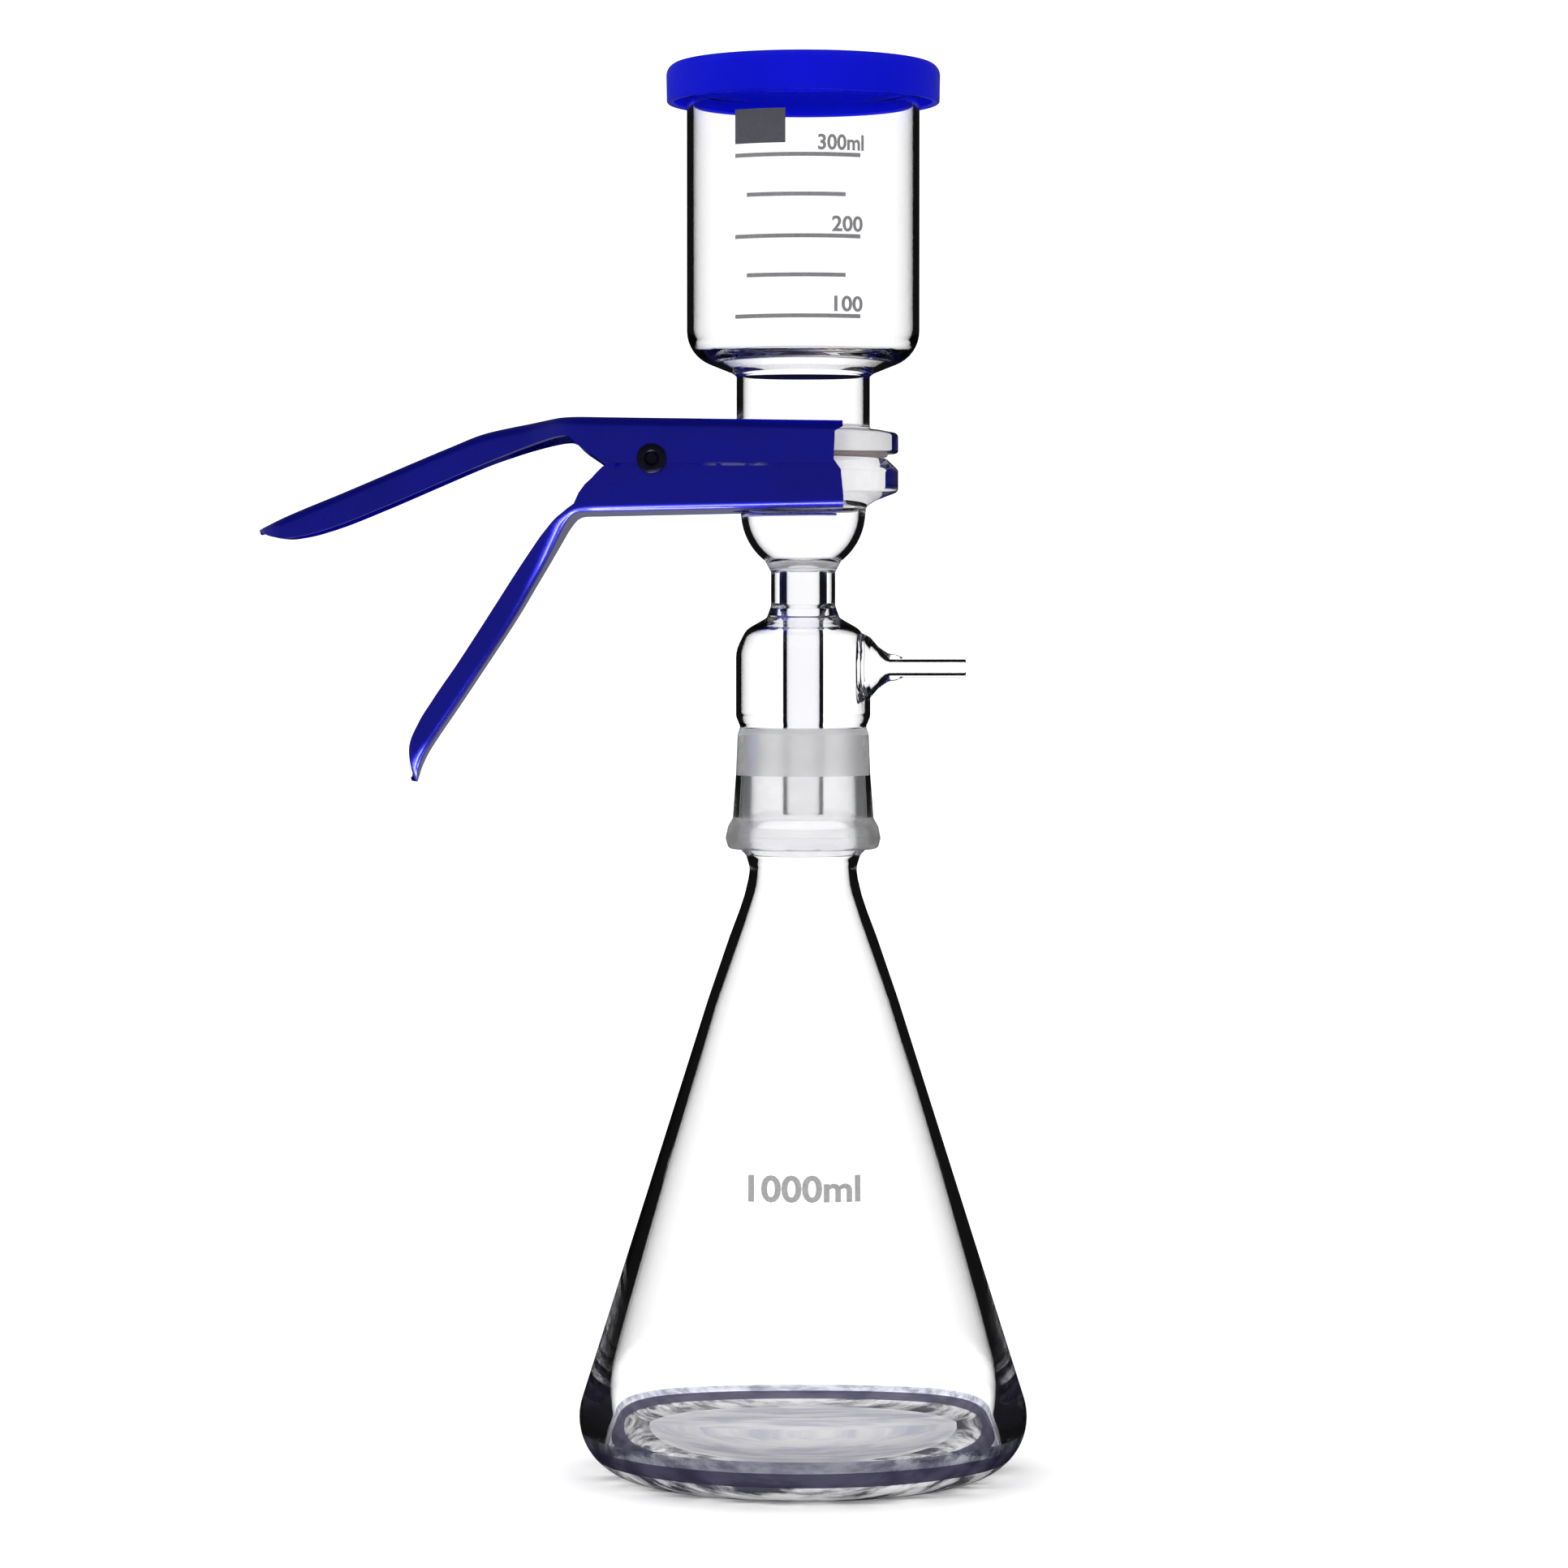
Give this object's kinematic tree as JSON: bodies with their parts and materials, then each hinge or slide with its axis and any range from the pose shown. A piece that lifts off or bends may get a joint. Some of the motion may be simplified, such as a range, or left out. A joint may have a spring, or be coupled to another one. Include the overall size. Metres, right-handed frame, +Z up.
{
  "type": "vacuum filtration apparatus",
  "caption": "Glass vacuum filtration set: conical receiving flask, ground-joint vacuum adapter with hose nipple, capped funnel, and a sprung blue clamp across the flanges.",
  "frame": {"origin": "centre of the flask's flat base, on the axis of the glassware", "axes": "+Z up along the glassware's axis, +X along the hose nipple, the clamp's handles towards -X"},
  "size_m": [0.2363, 0.1382, 0.4345],
  "materials": {
    "clear_glass": "clear borosilicate, polished; the joint zone is ground",
    "sintered_glass": "porous, opaque white",
    "seal_rubber": "smooth, matt",
    "cap_plastic": "moulded, royal blue",
    "anodised_sheet": "blue anodised, satin",
    "rivet_steel": "blackened",
    "spring_steel": "drawn wire"
  },
  "bodies": {
    "flask": {"receiving_flask": "clear_glass"},
    "filter_head": {"joint_socket": "clear_glass", "vacuum_dome": "clear_glass", "hose_nipple": "clear_glass", "support_bowl": "clear_glass", "drip_tube": "clear_glass", "sintered_disc": "sintered_glass", "seal_ring": "seal_rubber", "funnel_cup": "clear_glass"},
    "cap": {"funnel_cap": "cap_plastic"},
    "clamp_pivot": {"pivot_rivet": "rivet_steel", "torsion_spring": "spring_steel"},
    "clamp_upper": {"clamp_upper_jaw": "anodised_sheet"},
    "clamp_lower": {"clamp_lower_jaw": "anodised_sheet"}
  },
  "joints": [
    {"name": "head_lift", "type": "slide", "parent": "flask", "child": "filter_head", "axis": [0, 0, 1], "range_m": [0, 0.06]},
    {"name": "cap_lift", "type": "slide", "parent": "filter_head", "child": "cap", "axis": [0, 0, 1], "range_m": [0, 0.03]},
    {"name": "clamp_slide", "type": "slide", "parent": "filter_head", "child": "clamp_pivot", "axis": [-1, 0, 0], "range_m": [0, 0.055]},
    {"name": "upper_jaw_hinge", "type": "hinge", "parent": "clamp_pivot", "child": "clamp_upper", "pos_m": [-0.0458, 0, 0.3123], "axis": [0, -1, 0], "range_deg": [0, 12], "stiffness_Nm_per_rad": 1, "springref_deg": -22.92, "deforming": ["torsion_spring"]},
    {"name": "lower_jaw_hinge", "type": "hinge", "parent": "clamp_pivot", "child": "clamp_lower", "pos_m": [-0.0458, 0, 0.3123], "axis": [0, 1, 0], "range_deg": [0, 12], "deforming": ["torsion_spring"]}
  ],
  "couplings": [
    {"joint": "lower_jaw_hinge", "follows": "upper_jaw_hinge", "ratio": 1}
  ]
}
